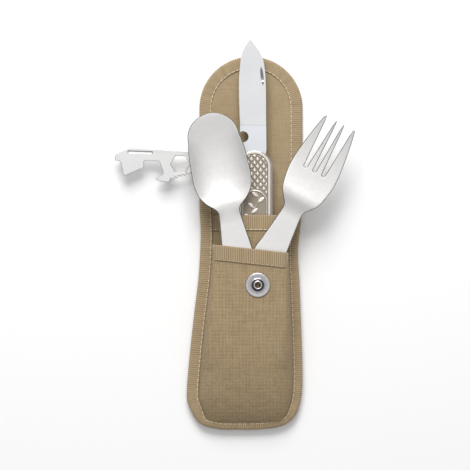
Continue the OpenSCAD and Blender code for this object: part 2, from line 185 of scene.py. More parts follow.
# ------------------------------------------------------------------ layout, in millimetres


def box_mm(node):
    """The lowest and highest corner of a CAD node."""
    low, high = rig.box(node)
    return np.array(low) / MM, np.array(high) / MM


TAPE_W = 7.3
CANVAS_T = 0.8
FOLD_Y = 35.4
FLAP_R = 31.0
FLAP_CENTRE_Y = 81.0
LEFT_SIDE = [(-112.2, -16), (-111.9, -19.3), (-109.5, -28.9), (-104.7, -33.8), (-96.6, -37.8),
             (-88.6, -38.6), (-64.5, -36.6), (-40, -33.9), (-18.6, -31.4), (5, -30.3),
             (22, -31), (50, -31), (81, -31)]
RIGHT_SIDE = [(-112.2, 0), (-111.1, 13.6), (-107.9, 22.5), (-100.7, 28.1), (-88.6, 30.7),
              (-72.6, 30.9), (-48.4, 30.1), (-24.4, 29.2), (-5, 28.3), (10, 29.8),
              (22, 30.6), (50, 31), (81, 31)]
body_low, body_high = box_mm("body_edge_tape")
_, flap_high = box_mm("flap_edge_tape")
BODY_Z = body_low[2]
EDGE_TOP = body_high[2]
BODY_FLOOR = box_mm("body_lining")[1][2]
FLAP_FLOOR = box_mm("flap_lining")[1][2]
KNIFE_POCKET_TOP = box_mm("knife_pocket")[1][2]
CUTLERY_POCKET_TOP = box_mm("cutlery_pocket")[1][2]
KNIFE_MOUTH_Y = 16.2
MOUTH_TAPE_W = 9.0
MOUTH_TAPE_T = 0.5
SEAM_BOTTOM = -107.5
handle_low, handle_high = box_mm("front_scale")


def curve(points, n):
    """Points along a Catmull-Rom curve, n a span."""
    p = np.array(points, float)
    out = []
    for i in range(len(p) - 1):
        a, b, c, d = p[max(i - 1, 0)], p[i], p[i + 1], p[min(i + 2, len(p) - 1)]
        for t in np.arange(n) / n:
            out.append(0.5 * (2 * b + t * (c - a) + t**2 * (2 * a - 5 * b + 4 * c - d)
                              + t**3 * (3 * b - a - 3 * c + d)))
    out.append(p[-1])
    return np.array(out)


left_curve = curve(LEFT_SIDE, 8)
right_curve = curve(RIGHT_SIDE, 8)


def side_x(side, y):
    """The pouch's side at y, on its straight stretches and round the flap's end."""
    table, sign = (left_curve, -1) if side == "left" else (right_curve, 1)
    y = np.asarray(y, float)
    over = np.clip(y - FLAP_CENTRE_Y, 0, FLAP_R - 0.01)
    return np.where(y > FLAP_CENTRE_Y, sign * np.sqrt(FLAP_R**2 - over**2),
                    np.interp(y, table[:, 0], table[:, 1]))


def ease(t):
    """A smooth step from 0 to 1."""
    t = np.clip(t, 0, 1)
    return t * t * (3 - 2 * t)


def evenly(points, step, closed=True):
    """The same line with points a step apart, and each point's distance along it."""
    p = np.array(points, float)
    if closed:
        p = np.vstack([p, p[:1]])
    run = np.concatenate([[0], np.cumsum(np.linalg.norm(np.diff(p, axis=0), axis=1))])
    n = max(int(round(run[-1] / step)), 2)
    at = np.linspace(0, run[-1], n + 1)
    line = np.stack([np.interp(at, run, p[:, k]) for k in range(p.shape[1])], axis=1)
    return (line[:-1], at[:-1]) if closed else (line, at)


def pouch_outline(step):
    """The pouch's edge, anticlockwise from the bottom, with its inward normals."""
    turn = np.radians(np.linspace(0, 180, 60))[1:-1]
    cap = np.stack([FLAP_R * np.cos(turn), FLAP_CENTRE_Y + FLAP_R * np.sin(turn)], axis=1)
    right = right_curve[:, ::-1]
    left = left_curve[::-1, ::-1]
    line, at = evenly(np.vstack([right, cap, left]), step)
    ahead = np.roll(line, -1, axis=0) - np.roll(line, 1, axis=0)
    ahead /= np.linalg.norm(ahead, axis=1)[:, None]
    return line, np.stack([-ahead[:, 1], ahead[:, 0]], axis=1), at


def at_fold(y, body, flap):
    """A height that goes from the body's to the flap's across the fold."""
    return body + (flap - body) * ease((np.asarray(y) - 26) / 20)


def edge_top(y):
    """The top of the edge tape: high where the pockets are sewn in."""
    y = np.asarray(y, float)
    sewn = BODY_FLOOR + 0.6 + (EDGE_TOP - BODY_FLOOR - 0.6) * ease((KNIFE_MOUTH_Y + 3 - y) / 6)
    return at_fold(y, sewn, flap_high[2])


def seam_left(y):
    return side_x("left", y) + TAPE_W


def seam_right(y):
    return side_x("right", y) - TAPE_W + 1.5


knife_end_y = handle_low[1]


def knife_pocket_top(x, y):
    """The knife pocket's outer face."""
    base = BODY_FLOOR + CANVAS_T
    left = ease((x - seam_left(y)) / (handle_low[0] - 1 - seam_left(y)))
    right = ease((seam_right(y) - x) / (seam_right(y) - handle_high[0] - 2))
    rise = ease((y - SEAM_BOTTOM) / (knife_end_y - 2 - SEAM_BOTTOM))
    return base + (KNIFE_POCKET_TOP - base) * np.minimum(left, right) * rise


FULL_Y = -46.0


def cutlery_pocket_top(x, y):
    """The cutlery pocket's outer face: boxy at the mouth, rounder lower down."""
    mid = (seam_left(y) + seam_right(y)) / 2
    half = (seam_right(y) - seam_left(y)) / 2
    s = np.clip(np.abs(x - mid) / half, 0, 1)
    power = 30 - 25 * np.clip((FULL_Y + 30 - y) / 60, 0, 1)
    t = np.clip((FULL_Y - y) / (FULL_Y - SEAM_BOTTOM), 0, 1)
    base = BODY_FLOOR + 2 * CANVAS_T
    full = (1 - t**2.4) ** 0.6
    return base + (CUTLERY_POCKET_TOP - base) * np.sqrt(1 - s**power) * full


def cutlery_mouth(x):
    return -3.9 - 0.11 * np.asarray(x, float)


def knife_mouth(x):
    return KNIFE_MOUTH_Y + 0 * np.asarray(x, float)


# ------------------------------------------------------------------ mesh helpers


def add_piece(name, points, faces, smooth=True, coords=None):
    """A mesh object from points in millimetres, with cloth coordinates where given."""
    mesh = bpy.data.meshes.new(name)
    mesh.from_pydata((np.asarray(points, float) * MM).tolist(), [], faces)
    mesh.validate()
    mesh.polygons.foreach_set("use_smooth", [smooth] * len(mesh.polygons))
    if coords is not None:
        layer = mesh.attributes.new("cloth", "FLOAT_VECTOR", "POINT")
        layer.data.foreach_set("vector", np.asarray(coords, np.float32).ravel())
    mesh.update()
    piece = bpy.data.objects.new(name, mesh)
    bpy.context.collection.objects.link(piece)
    return piece


def grid_faces(rows, cols, start=0, flip=False, wrap=False):
    """Quads over a grid of rows by cols points, wrapped round in the columns if asked."""
    faces = []
    for r in range(rows - 1):
        for c in range(cols if wrap else cols - 1):
            a = start + r * cols + c
            b = start + r * cols + (c + 1) % cols
            quad = (a, b, b + cols, a + cols)
            faces.append(quad[::-1] if flip else quad)
    return faces


def grid_walls(rows, cols):
    """Faces that join the rim of a grid to that of the grid after it."""
    n = rows * cols
    rim = (list(range(cols - 1)) + [r * cols + cols - 1 for r in range(rows - 1)]
           + [(rows - 1) * cols + c for c in range(cols - 1, 0, -1)]
           + [r * cols for r in range(rows - 1, 0, -1)])
    return [(b, a, a + n, b + n) for a, b in zip(rim, rim[1:] + rim[:1])]


def cloth_skin(name, x, y, top, thick, wave=0.0):
    """A closed sheet of cloth over a grid: x and y are (rows, cols), top is a height function."""
    rows, cols = x.shape
    z = top(x, y)
    if wave:
        z = z + wave * (np.sin(x * 0.21 + y * 0.07) * np.sin(y * 0.13 + 1.3)
                        + 0.5 * np.sin(x * 0.5 + 2) * np.sin(y * 0.37))
    high = np.stack([x, y, z], axis=2).reshape(-1, 3)
    low = high - [0, 0, thick]
    n = rows * cols
    faces = grid_faces(rows, cols) + grid_faces(rows, cols, n, flip=True)
    faces += grid_walls(rows, cols)
    # distance over the cloth, so that the weave doesn't stretch on the steep sides
    step = np.sqrt(np.diff(x, axis=1) ** 2 + np.diff(z, axis=1) ** 2)
    run = np.concatenate([np.zeros((rows, 1)), np.cumsum(step, axis=1)], axis=1)
    run += x[:, cols // 2][:, None] - run[:, cols // 2][:, None]
    coords = np.stack([run, y, z], axis=2).reshape(-1, 3)
    if x[0, -1] > x[0, 0] and y[-1, 0] < y[0, 0]:
        faces = [f[::-1] for f in faces]
    return add_piece(name, np.vstack([high, low]), faces, coords=np.vstack([coords, coords]))


def cut_size(x, y, top):
    p = np.stack([x, y, top(x, y)], axis=2)
    across = np.linalg.norm(np.diff(p, axis=1), axis=2).sum(axis=1).max()
    along = np.linalg.norm(np.diff(p, axis=0), axis=2).sum(axis=0).max()
    one = np.cross(p[:-1, 1:] - p[:-1, :-1], p[1:, :-1] - p[:-1, :-1])
    two = np.cross(p[:-1, 1:] - p[1:, 1:], p[1:, :-1] - p[1:, 1:])
    area = (np.linalg.norm(one, axis=2) + np.linalg.norm(two, axis=2)).sum() / 2
    return {"flat": (round(float(across) * MM, 4), round(float(along) * MM, 4)),
            "area": round(float(area) * MM**2, 6)}


def sharpen(piece, degrees=35):
    piece.data.set_sharp_from_angle(angle=math.radians(degrees))


def soften_edges(piece, width, segments=3, degrees=40, material=0):
    """Rounds a hard edge, as a tumbled or pressed part has it; the rounding can be its own material."""
    bevel = piece.modifiers.new("edge", "BEVEL")
    bevel.width = width * MM
    bevel.segments = segments
    bevel.limit_method = "ANGLE"
    bevel.angle_limit = math.radians(degrees)
    bevel.harden_normals = True
    bevel.material = material
    bevel.use_clamp_overlap = False


def plate(name, outline, spacing, height, thick, edge=0.4):
    """A plate cut to an anticlockwise outline, following a height function, with rounded edges.

    The rounding is the second material.
    """
    outline = np.asarray(outline, float)
    ahead = np.roll(outline, -1, axis=0) - np.roll(outline, 1, axis=0)
    ahead /= np.linalg.norm(ahead, axis=1)[:, None]
    inward = np.stack([-ahead[:, 1], ahead[:, 0]], axis=1)
    cap = outline + inward * edge
    low, high = cap.min(axis=0), cap.max(axis=0)
    gx, gy = np.meshgrid(np.arange(low[0], high[0], spacing), np.arange(low[1], high[1], spacing))
    inner = np.stack([gx.ravel(), gy.ravel()], axis=1)
    away = np.linalg.norm(inner[:, None] - cap[None], axis=2).min(axis=1)
    inner = inner[away > spacing * 0.6]
    points = [Vector(p) for p in np.vstack([cap, inner])]
    n = len(cap)
    flat, _, caps, *_ = delaunay_2d_cdt(points, [], [list(range(n))], 1, 1e-5)
    flat = np.array([[p.x, p.y] for p in flat])
    z = height(flat[:, 0], flat[:, 1])
    count = len(flat)
    turn = np.radians((67.5, 45, 22.5, 0))
    rings = [(edge * (1 - math.cos(a)), thick - edge + edge * math.sin(a)) for a in turn]
    rings += [(d, thick - up) for d, up in rings[::-1]]
    parts = [np.column_stack([flat, z + thick]), np.column_stack([flat, z])]
    for d, up in rings:
        at = outline + inward * d
        parts.append(np.column_stack([at, height(at[:, 0], at[:, 1]) + up]))
    faces = [tuple(f) for f in caps] + [tuple(i + count for i in reversed(f)) for f in caps]
    smooth_caps = len(faces)
    starts = [0] + [2 * count + k * n for k in range(len(rings))] + [count]
    for one, two in zip(starts, starts[1:]):
        for i in range(n):
            j = (i + 1) % n
            faces.append((one + j, one + i, two + i, two + j))
    piece = add_piece(name, np.vstack(parts), faces)
    return piece, smooth_caps


def paint_rim(piece, material, caps):
    """Gives every face after the caps a second material."""
    piece.data.materials.append(material)
    rim = [0] * caps + [1] * (len(piece.data.polygons) - caps)
    piece.data.polygons.foreach_set("material_index", rim)


def placed(piece, at, degrees, z):
    """Moves a piece's mesh from its own axes to its place in the set."""
    turn = Matrix.Translation(Vector((at[0] * MM, at[1] * MM, z * MM)))
    piece.data.transform(turn @ Matrix.Rotation(math.radians(degrees), 4, "Z"))
    return piece


def joined(name, parts):
    """One piece from several (points, faces) groups."""
    points, faces, start = [], [], 0
    for p, f in parts:
        points.append(np.asarray(p, float))
        faces += [tuple(i + start for i in q) for q in f]
        start += len(p)
    return add_piece(name, np.vstack(points), faces)


# ------------------------------------------------------------------ materials


class Nodes:
    """A short way to write a node tree."""

    def __init__(self, name):
        self.material = bpy.data.materials.new(name)
        self.material.use_nodes = True
        self.tree = self.material.node_tree
        self.tree.nodes.clear()
        out = self.new("ShaderNodeOutputMaterial")
        self.shader = self.new("ShaderNodeBsdfPrincipled")
        self.tree.links.new(self.shader.outputs[0], out.inputs[0])

    def new(self, kind, **settings):
        node = self.tree.nodes.new(kind)
        for key, value in settings.items():
            setattr(node, key, value)
        return node

    def link(self, source, target):
        if hasattr(source, "links"):
            self.tree.links.new(source, target)
        else:
            target.default_value = source

    def math(self, operation, a, b=0.0, c=0.0):
        node = self.new("ShaderNodeMath", operation=operation)
        for value, socket in zip((a, b, c), node.inputs):
            self.link(value, socket)
        return node.outputs[0]

    def mix(self, factor, a, b):
        node = self.new("ShaderNodeMix", data_type="RGBA")
        self.link(factor, node.inputs[0])
        self.link(a, node.inputs[6])
        self.link(b, node.inputs[7])
        return node.outputs[2]

    def noise(self, vector, scale, detail=4.0, roughness=0.5):
        node = self.new("ShaderNodeTexNoise")
        self.link(vector, node.inputs["Vector"])
        node.inputs["Scale"].default_value = scale
        node.inputs["Detail"].default_value = detail
        node.inputs["Roughness"].default_value = roughness
        return node.outputs["Fac"]

    def ramp(self, value, low, high):
        """0 under low and 1 over high, smoothly."""
        node = self.new("ShaderNodeMapRange", interpolation_type="SMOOTHSTEP")
        self.link(value, node.inputs[0])
        node.inputs[1].default_value = low
        node.inputs[2].default_value = high
        return node.outputs[0]

    def stretch(self, vector, scale):
        node = self.new("ShaderNodeVectorMath", operation="MULTIPLY")
        self.link(vector, node.inputs[0])
        node.inputs[1].default_value = scale
        return node.outputs[0]

    def object_mm(self):
        return self.stretch(self.new("ShaderNodeTexCoord").outputs["Object"], (1000, 1000, 1000))

    def attribute(self, name):
        return self.new("ShaderNodeAttribute", attribute_name=name)

    def split(self, vector):
        node = self.new("ShaderNodeSeparateXYZ")
        self.link(vector, node.inputs[0])
        return node.outputs

    def bump(self, height, distance, strength=1.0):
        node = self.new("ShaderNodeBump")
        self.link(height, node.inputs["Height"])
        node.inputs["Distance"].default_value = distance * MM
        node.inputs["Strength"].default_value = strength
        self.tree.links.new(node.outputs[0], self.shader.inputs["Normal"])

    def set(self, **values):
        for key, value in values.items():
            self.link(value, self.shader.inputs[key.replace("_", " ")])


def colour(r, g, b):
    return (r, g, b, 1.0)


def woven(name, light, dark, pitch, sheen=0.25, wear=0.18, across=None, slubs=0.9):
    """Plain weave: warp and weft threads pass over each other in turn."""
    n = Nodes(name)
    cloth = n.attribute("cloth").outputs["Vector"]
    x, y, _ = n.split(cloth)
    slub = n.noise(n.stretch(cloth, (0.35, 2.2, 1)), 1.0, 3.0)
    slub_y = n.noise(n.stretch(cloth, (2.2, 0.35, 1)), 1.0, 3.0)
    px = n.math("MULTIPLY", n.math("ADD", x, n.math("MULTIPLY", slub_y, 0.25)), math.pi / pitch)
    py = n.math("MULTIPLY", n.math("ADD", y, n.math("MULTIPLY", slub, 0.25)),
                math.pi / (across or pitch))
    warp = n.math("ABSOLUTE", n.math("SINE", px))
    weft = n.math("ABSOLUTE", n.math("SINE", py))
    turn = n.math("MULTIPLY", n.math("COSINE", px), n.math("COSINE", py))
    over = n.ramp(turn, -0.25, 0.25)
    height = n.math("ADD", n.math("MULTIPLY", warp, over),
                    n.math("MULTIPLY", weft, n.math("SUBTRACT", 1.0, over)))
    weft_line = n.noise(n.stretch(cloth, (0.10, 1.15, 1)), 1.0, 2.0, 0.6)
    warp_line = n.noise(n.stretch(cloth, (1.15, 0.10, 1)), 1.0, 2.0, 0.6)
    tone = n.math("ADD", n.math("MULTIPLY", slub, 0.35), n.math("MULTIPLY", slub_y, 0.35))
    lines = n.math("SUBTRACT", n.math("ADD", weft_line, warp_line), 1.0)
    tone = n.math("ADD", tone, n.math("MULTIPLY", lines, slubs))
    blotch = n.noise(cloth, 0.06, 4.0)
    tone = n.math("ADD", tone, n.math("MULTIPLY", blotch, wear))
    # darker where a thread dips under another: painted shade between the threads, times the yarn's own tone
    shade = n.math("MULTIPLY", n.ramp(height, 0.05, 0.95), n.math("ADD", tone, 0.46))
    n.set(Base_Color=n.mix(shade, colour(*dark), colour(*light)), Roughness=0.92,
          Sheen_Weight=sheen, Sheen_Roughness=0.5, Specular_IOR_Level=0.2)
    n.bump(height, 0.16, 0.8)
    return n.material


def tape_material():
    """Ribbed grosgrain: the ribs are in the mesh, and fine threads run along the tape. The grooves between the ribs
    are painted darker, as painted shade.
    """
    n = Nodes("grosgrain_tape")
    cloth = n.attribute("cloth").outputs["Vector"]
    along, across, rib = n.split(cloth)
    thread = n.math("ABSOLUTE", n.math("SINE", n.math("MULTIPLY", across, math.pi / 0.42)))
    patch = n.noise(n.stretch(cloth, (0.25, 0.05, 0)), 1.0, 4.0)
    fibre = n.noise(n.stretch(cloth, (2.5, 0.6, 0)), 1.0, 3.0)
    # light on the rib crowns and dark in the grooves: painted shade between the ribs
    tone = n.math("ADD", n.math("MULTIPLY", rib, 0.85), n.math("MULTIPLY", fibre, 0.30))
    tone = n.math("ADD", tone, n.math("MULTIPLY", n.math("SUBTRACT", patch, 0.5), 0.5))
    n.set(Base_Color=n.mix(tone, colour(0.125, 0.085, 0.047), colour(0.43, 0.325, 0.195)),
          Roughness=0.85, Sheen_Weight=0.3, Sheen_Roughness=0.45, Specular_IOR_Level=0.25)
    n.bump(n.math("ADD", n.math("MULTIPLY", thread, 0.5), fibre), 0.05, 0.7)
    return n.material


def thread_material(name, dark, light):
    n = Nodes(name)
    where = n.object_mm()
    ply = n.noise(n.stretch(where, (3, 3, 3)), 1.0, 3.0)
    n.set(Base_Color=n.mix(ply, colour(*dark), colour(*light)),
          Roughness=0.6, Sheen_Weight=0.2)
    n.bump(ply, 0.05, 0.5)
    return n.material


def steel(name, tint, rough, grain, grain_depth, spread=0.10):
    """Stainless steel: fine grinding lines along `grain`, faint smears and handling marks."""
    n = Nodes(name)
    where = n.object_mm()
    lines = n.noise(n.stretch(where, grain), 1.0, 6.0, 0.65)
    smear = n.noise(where, 0.07, 3.0)
    fine = n.noise(where, 9.0, 2.0)
    rough_now = n.math("ADD", rough - spread / 2, n.math("MULTIPLY", lines, spread))
    rough_now = n.math("ADD", rough_now, n.math("MULTIPLY", n.math("SUBTRACT", smear, 0.5), 0.14))
    dark = tuple(0.88 * c for c in tint)
    n.set(Base_Color=n.mix(lines, colour(*dark), colour(*tint)), Metallic=1.0,
          Roughness=rough_now)
    n.bump(n.math("ADD", lines, n.math("MULTIPLY", fine, 0.2)), grain_depth, 0.5)
    return n.material


def blade_steel(nick, plunge_y):
    """Ground blade steel: a flat above the plunge line, and shade inside the nail nick."""
    material = steel("blade_steel", (0.955, 0.96, 0.98), 0.26, (9, 0.25, 9), 0.006)
    n = Nodes.__new__(Nodes)
    n.material, n.tree = material, material.node_tree
    n.shader = next(k for k in n.tree.nodes if k.type == "BSDF_PRINCIPLED")
    x, y, z = n.split(n.object_mm())
    ground = n.shader.inputs["Base Color"].links[0].from_socket
    flat = n.ramp(y, plunge_y + 0.6, plunge_y - 0.6)
    line = n.math("SUBTRACT", 1.0, n.ramp(n.math("ABSOLUTE", n.math("SUBTRACT", y, plunge_y)), 0.0, 0.6))
    up = n.math("SUBTRACT", y, nick[1])
    beside = n.math("ADD", n.math("SUBTRACT", x, nick[0]), n.math("MULTIPLY", up, 0.11))
    away = n.math("ADD", n.math("POWER", n.math("ABSOLUTE", n.math("DIVIDE", beside, 1.0)), 2.0),
                  n.math("POWER", n.math("ABSOLUTE", n.math("DIVIDE", up, 5.8)), 2.0))
    inside = n.math("SUBTRACT", 1.0, n.ramp(away, 0.6, 1.1))
    tint = n.mix(n.math("MULTIPLY", flat, 0.75), ground, colour(0.90, 0.93, 0.98))
    tint = n.mix(n.math("MULTIPLY", line, 0.25), tint, colour(0.4, 0.42, 0.45))
    n.set(Base_Color=n.mix(n.math("MULTIPLY", inside, 0.85), tint, colour(0.13, 0.135, 0.15)))
    return material


def cast_silver():
    """Antique silver casting: dark patina in the hollows, worn bright on the ridges."""
    n = Nodes("cast_silver")
    where = n.object_mm()
    relief = n.attribute("cloth").outputs["Vector"]
    level = n.split(relief)[2]
    grit = n.noise(where, 1.6, 6.0, 0.65)
    cloud = n.noise(where, 0.25, 3.0)
    bright = n.math("ADD", level, n.math("MULTIPLY", n.math("SUBTRACT", grit, 0.5), 0.55))
    bright = n.math("ADD", bright, n.math("MULTIPLY", n.math("SUBTRACT", cloud, 0.5), 0.35))
    shade = n.ramp(bright, 0.05, 0.95)
    n.set(Base_Color=n.mix(shade, colour(0.36, 0.315, 0.255), colour(0.80, 0.755, 0.68)),
          Metallic=0.92, Roughness=n.math("SUBTRACT", 0.62, n.math("MULTIPLY", shade, 0.22)))
    n.bump(grit, 0.09, 0.7)
    return n.material


CANVAS = woven("pocket_canvas", (0.475, 0.36, 0.215), (0.185, 0.13, 0.07), 0.85, sheen=0.06)
LINING = woven("lining_cloth", (0.50, 0.385, 0.235), (0.26, 0.187, 0.107), 0.6, sheen=0.08,
               wear=0.15, slubs=0.7)
WEBBING = woven("belt_webbing", (0.43, 0.33, 0.205), (0.17, 0.125, 0.075), 1.3, across=2.1)
TAPE = tape_material()
THREAD = thread_material("cream_thread", (0.50, 0.40, 0.26), (0.86, 0.74, 0.53))
TAN_THREAD = thread_material("tan_thread", (0.34, 0.25, 0.14), (0.56, 0.44, 0.27))
SATIN = steel("satin_steel", (0.92, 0.91, 0.895), 0.38, (0.5, 0.5, 0.5), 0.004)
# dark steel for the rounded rims of the spoon and fork: painted shade that outlines them
EDGE = steel("worn_edge_steel", (0.24, 0.235, 0.225), 0.36, (1.5, 1.5, 1.5), 0.004)
# darker steel for the opener's rounded edges: painted shade that outlines it
OPENER_RIM_SHADE = steel("ground_edge_steel", (0.50, 0.495, 0.49), 0.34, (1.5, 1.5, 1.5), 0.004)
BLADE = blade_steel((6.6, 99.9), 70.5)
OPENER = steel("opener_steel", (0.98, 0.97, 0.965), 0.28, (0.25, 9, 9), 0.006)
LINER = steel("liner_steel", (0.40, 0.395, 0.39), 0.34, (0.4, 6, 9), 0.02)
NICKEL = steel("nickel_snap", (0.74, 0.735, 0.72), 0.24, (2, 2, 2), 0.012)
SILVER = cast_silver()
REAR_SILVER = steel("rear_cast_silver", (0.60, 0.55, 0.47), 0.45, (1.5, 1.5, 1.5), 0.06, 0.2)


def paint(piece, *materials):
    piece.data.materials.clear()
    for material in materials:
        piece.data.materials.append(material)


def finish_piece(piece, material, body, slot, *nodes):
    """Paints a piece, makes it ride on its body and stand for its CAD nodes."""
    paint(piece, material)
    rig.slot(piece, slot)
    if body:
        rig.ride(piece, body)
    if nodes:
        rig.replaces(piece, *nodes)
    return piece


def across_the_fold(piece):
    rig.blend(piece, "pouch", "flap", start=(0, (FOLD_Y - 3) * MM, 0),
             end=(0, (FOLD_Y + 3) * MM, 0))


# ------------------------------------------------------------------ pouch back and flap


def whole_pouch_grid(inset, rows=190, cols=34):
    """A grid over the whole pouch, with rows closest together at its two ends."""
    t = np.linspace(0, 1, rows)
    y = -111.6 + (111.4 + 111.6) * (0.5 - 0.5 * np.cos(np.pi * t)) ** 1.0
    left = side_x("left", y) + inset
    right = side_x("right", y) - inset
    short = left > right - 1
    mid = (left + right) / 2
    left = np.where(short, mid - 0.5, left)
    right = np.where(short, mid + 0.5, right)
    s = (1 - np.cos(np.pi * np.linspace(0, 1, cols))) / 2
    x = left[:, None] + (right - left)[:, None] * s[None]
    return x, np.repeat(y[:, None], cols, axis=1)


def back_and_lining():
    x, y = whole_pouch_grid(0.9)
    def floor(x, y):
        return at_fold(y, BODY_FLOOR, FLAP_FLOOR)
    size = cut_size(x, y, floor)
    lining = cloth_skin("pouch_lining", x, y, floor, 0.6, wave=0.10)
    finish_piece(lining, LINING, None, "lining", "body_lining", "flap_lining")
    across_the_fold(lining)
    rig.sheet(lining, held="laid", rests_on=["back_panel"], **size)
    back = cloth_skin("pouch_back", x, y,
                      lambda x, y: at_fold(y, BODY_FLOOR - 0.62, FLAP_FLOOR - 0.62), 1.35)
    finish_piece(back, CANVAS, None, "canvas", "back_panel", "flap_panel")
    across_the_fold(back)
    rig.sheet(back, held="laid", rests_on=["belt_loop"], **size)


RIB = 1.3


def ribs(along):
    """Rib profile from 0 in the grooves to 1 on the crowns."""
    return np.abs(np.sin(np.pi * along / RIB)) ** 0.7


def edge_tape():
    """Ribbed tape folded over the pouch's edge, all the way round."""
    line, inward, along = pouch_outline(RIB / 7)
    total = along[-1] + RIB / 7
    crown = ribs(along * (round(total / RIB) * RIB / total))
    top = edge_top(line[:, 1])
    bottom = at_fold(line[:, 1], BODY_Z, 0.0)
    thick = 0.45
    mid, half = (top + bottom) / 2, (top - bottom) / 2
    width = TAPE_W
    section = []
    # outer face, from the inner edge of the top leg round to that of the lower leg
    legs = np.linspace(width, 1.4, 8)
    turn = np.radians(np.linspace(90, -90, 9))
    for d in legs:
        section.append((d, 1.0, 0.07 * math.sin(math.pi * (width - d) / width) if d < width else -0.12))
    for a in turn[1:-1]:
        section.append((1.4 * (1 - math.cos(a)), math.sin(a), 0.0))
    for d in legs[::-1]:
        section.append((d, -1.0, 0.0))
    count = len(section)
    points, coords = [], []
    for d, level, puff in section:
        lift = crown * 0.13 if level > -0.95 else crown * 0.06
        z = mid + level * half - (0.13 - lift) * np.sign(level) * abs(level) + puff
        flat = line + inward * d
        out = (0.13 - lift) * (1 - abs(level))
        flat = flat + inward * out[:, None]
        points.append(np.column_stack([flat, z]))
        coords.append(np.column_stack([along, np.full(len(line), d + (20 if level < 0 else 0)), crown]))
    for d, level, puff in section[::-1]:
        flat = line + inward * max(d, thick)
        z = mid + level * (half - thick)
        points.append(np.column_stack([flat, z]))
        coords.append(np.column_stack([along, np.full(len(line), d), crown]))
    points = np.stack(points, axis=1).reshape(-1, 3)
    coords = np.stack(coords, axis=1).reshape(-1, 3)
    cols = 2 * count
    rows = len(line)
    faces = grid_faces(rows, cols, wrap=True, flip=True)
    last = (rows - 1) * cols
    for c in range(cols):
        faces.append((c, (c + 1) % cols, last + (c + 1) % cols, last + c))
    piece = add_piece("edge_tape", points, faces, coords=coords)
    finish_piece(piece, TAPE, None, "edge_tape", "body_edge_tape", "flap_edge_tape")
    across_the_fold(piece)
    girth = 2 * (TAPE_W - 1.4) + math.pi * math.sqrt((1.4**2 + float(half.mean()) ** 2) / 2)
    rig.sheet(piece, flat=(round(girth * MM, 4), round(float(total) * MM, 4)), held="folded",
             rests_on=["back_panel"])


def stitch(points, lengths=2.6, pause=0.25, thick=0.30, dip=0.2):
    """Lockstitches along a 3-D line: short threads that dive in at both ends."""
    line, at = evenly(points, 0.25, closed=False)
    pitch = lengths + pause
    count = int(at[-1] // pitch)
    parts = []
    sides, rings = 6, 7
    for k in range(count):
        run = np.linspace(k * pitch, k * pitch + lengths, rings)
        centre = np.stack([np.interp(run, at, line[:, i]) for i in range(3)], axis=1)
        t = np.linspace(-1, 1, rings)
        centre[:, 2] -= dip * np.abs(t) ** 3
        ahead = centre[-1] - centre[0]
        ahead[2] = 0
        side = np.array([-ahead[1], ahead[0], 0]) / max(np.linalg.norm(ahead), 1e-6)
        radius = thick * (1 - 0.45 * np.abs(t) ** 3)
        turn = 2 * np.pi * np.arange(sides) / sides
        ring = (centre[:, None] + radius[:, None, None]
                * (np.cos(turn)[None, :, None] * side + np.sin(turn)[None, :, None] * np.array([0, 0, 1.0])))
        faces = grid_faces(rings, sides, wrap=True)
        faces += [tuple(range(sides))[::-1], tuple((rings - 1) * sides + i for i in range(sides))]
        parts.append((ring.reshape(-1, 3), faces))
    return parts


def edge_stitching():
    """The cream seam that holds the edge tape, on both faces."""
    line, inward, _ = pouch_outline(0.5)
    x, y = line.T
    # the seam runs beside the pockets' walls, which come closest to the edge at the bottom
    back = np.where(y > 22, 6.9, np.where(x < 0, 6.4, 4.9))
    back = np.where((y < -104) & (inward[:, 1] > 0.6), 3.6, back)
    window = np.hanning(31)
    back = np.convolve(np.concatenate([back[-15:], back, back[:15]]), window / window.sum(), "valid")
    flat = line + inward * back[:, None]
    top = np.column_stack([flat, edge_top(line[:, 1]) + 0.02])
    piece = joined("edge_stitching", stitch(np.vstack([top, top[:1]])))
    finish_piece(piece, THREAD, None, "stitch_thread")
    across_the_fold(piece)
    under = np.column_stack([flat, at_fold(line[:, 1], BODY_Z, 0.0) + 0.22])
    piece = joined("edge_stitching_under", stitch(np.vstack([under, under[:1]]), dip=-0.1, thick=0.2))
    finish_piece(piece, THREAD, None, "stitch_thread")
    across_the_fold(piece)


# ------------------------------------------------------------------ pockets


def pocket_grid(mouth, bottom, rows, cols, inset=0.9):
    """Rows from the mouth to the bottom, which follow the mouth's slant near it."""
    t = np.linspace(0, 1, rows)
    start = float(mouth(0.0))
    base = start + (bottom - start) * t
    near = np.clip((base - FULL_Y) / (start - FULL_Y), 0, 1)
    s = (1 - np.cos(np.pi * np.linspace(0, 1, cols))) / 2
    edge = 4
    def spread(y):
        left, right = seam_left(y), seam_right(y)
        inner = left + (right - left) * s
        lead = np.linspace(0, 1, edge, endpoint=False)
        outer_left = side_x("left", y) + inset
        outer_right = side_x("right", y) - inset
        if y.ndim == 0:
            y = y[None]
        return np.concatenate([outer_left + (left - outer_left) * lead, inner,
                               (right + (outer_right - right) * (1 - lead))[::-1]])
    x, ys = [], []
    for b, k in zip(base, near):
        first = spread(np.asarray(b))
        y = b + k * (mouth(first) - start)
        x.append([spread(np.asarray(v))[c] for c, v in enumerate(y)])
        ys.append(y)
    return np.array(x), np.array(ys)


